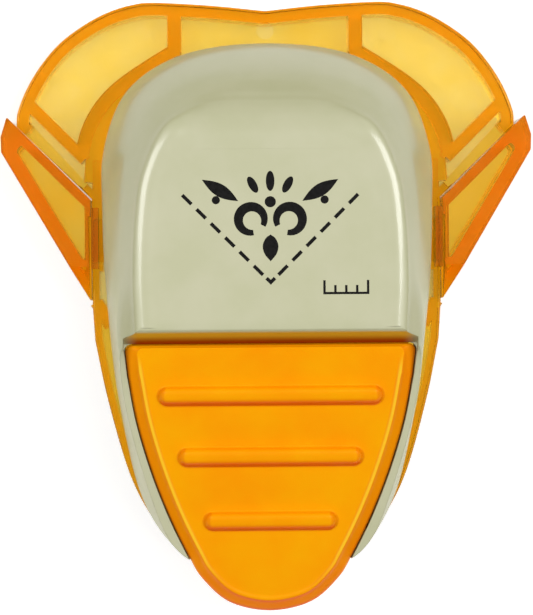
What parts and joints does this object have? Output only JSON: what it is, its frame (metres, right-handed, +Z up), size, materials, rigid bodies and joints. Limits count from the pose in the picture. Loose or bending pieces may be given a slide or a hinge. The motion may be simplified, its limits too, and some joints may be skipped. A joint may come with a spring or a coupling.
{
  "type": "decorative corner punch",
  "caption": "Lever corner punch with a smooth pale shell, an orange ribbed press lever and a translucent amber base tray with two flared paper guides",
  "frame": {"origin": "centre of the bounding box in X and Y, on the surface that the base stands on", "axes": "+Z up, +Y toward the side where the paper's corner goes in, -Y toward the lever's tip, +X to the right seen from above with +Y up the page"},
  "size_m": [0.1128, 0.1292, 0.046],
  "materials": {
    "amber_plastic": "translucent amber moulding, lightly frosted",
    "cream_plastic": "pale cream, satin with a faint pearl sheen",
    "orange_plastic": "opaque orange, semi-gloss",
    "ground_steel": "ground bright",
    "sheet_steel": "stamped zinc-plated sheet",
    "spring_steel": "drawn wire and blued clips",
    "screw_steel": "dark plated cross-head screws",
    "bush_brass": "turned brass",
    "punch_metal": "machined"
  },
  "bodies": {
    "housing": {"base_tray": "amber_plastic", "left_paper_guide": "amber_plastic", "right_paper_guide": "amber_plastic", "die_plate": "ground_steel", "corner_stop_plate": "sheet_steel", "punch_guide_frame": "sheet_steel", "guide_post_left": "ground_steel", "guide_post_right": "ground_steel", "return_spring_left": "spring_steel", "return_spring_right": "spring_steel", "pivot_pin": "ground_steel", "pin_clip_left": "spring_steel", "pin_clip_right": "spring_steel", "pivot_bush_left": "bush_brass", "pivot_bush_right": "bush_brass", "top_shell": "cream_plastic", "frame_screw_1": "screw_steel", "frame_screw_2": "screw_steel", "frame_screw_3": "screw_steel", "frame_screw_4": "screw_steel", "shell_screw_1": "screw_steel", "shell_screw_2": "screw_steel", "shell_screw_3": "screw_steel", "shell_screw_4": "screw_steel"},
    "press_lever": {"lever": "orange_plastic", "lever_wear_plate": "ground_steel"},
    "punch": {"punch_block": "punch_metal"}
  },
  "joints": [
    {"name": "lever_press", "type": "hinge", "parent": "housing", "child": "press_lever", "pos_m": [0, 0.033, 0.0345], "axis": [1, 0, 0], "range_deg": [0, 6], "stiffness_Nm_per_rad": 1, "springref_deg": -17.19},
    {"name": "punch_slide", "type": "slide", "parent": "housing", "child": "punch", "axis": [0, 0, -1], "range_m": [0, 0.0033], "deforming": ["return_spring_left", "return_spring_right"]}
  ],
  "couplings": [
    {"joint": "punch_slide", "follows": "lever_press", "m_per_rad": 0.031}
  ]
}
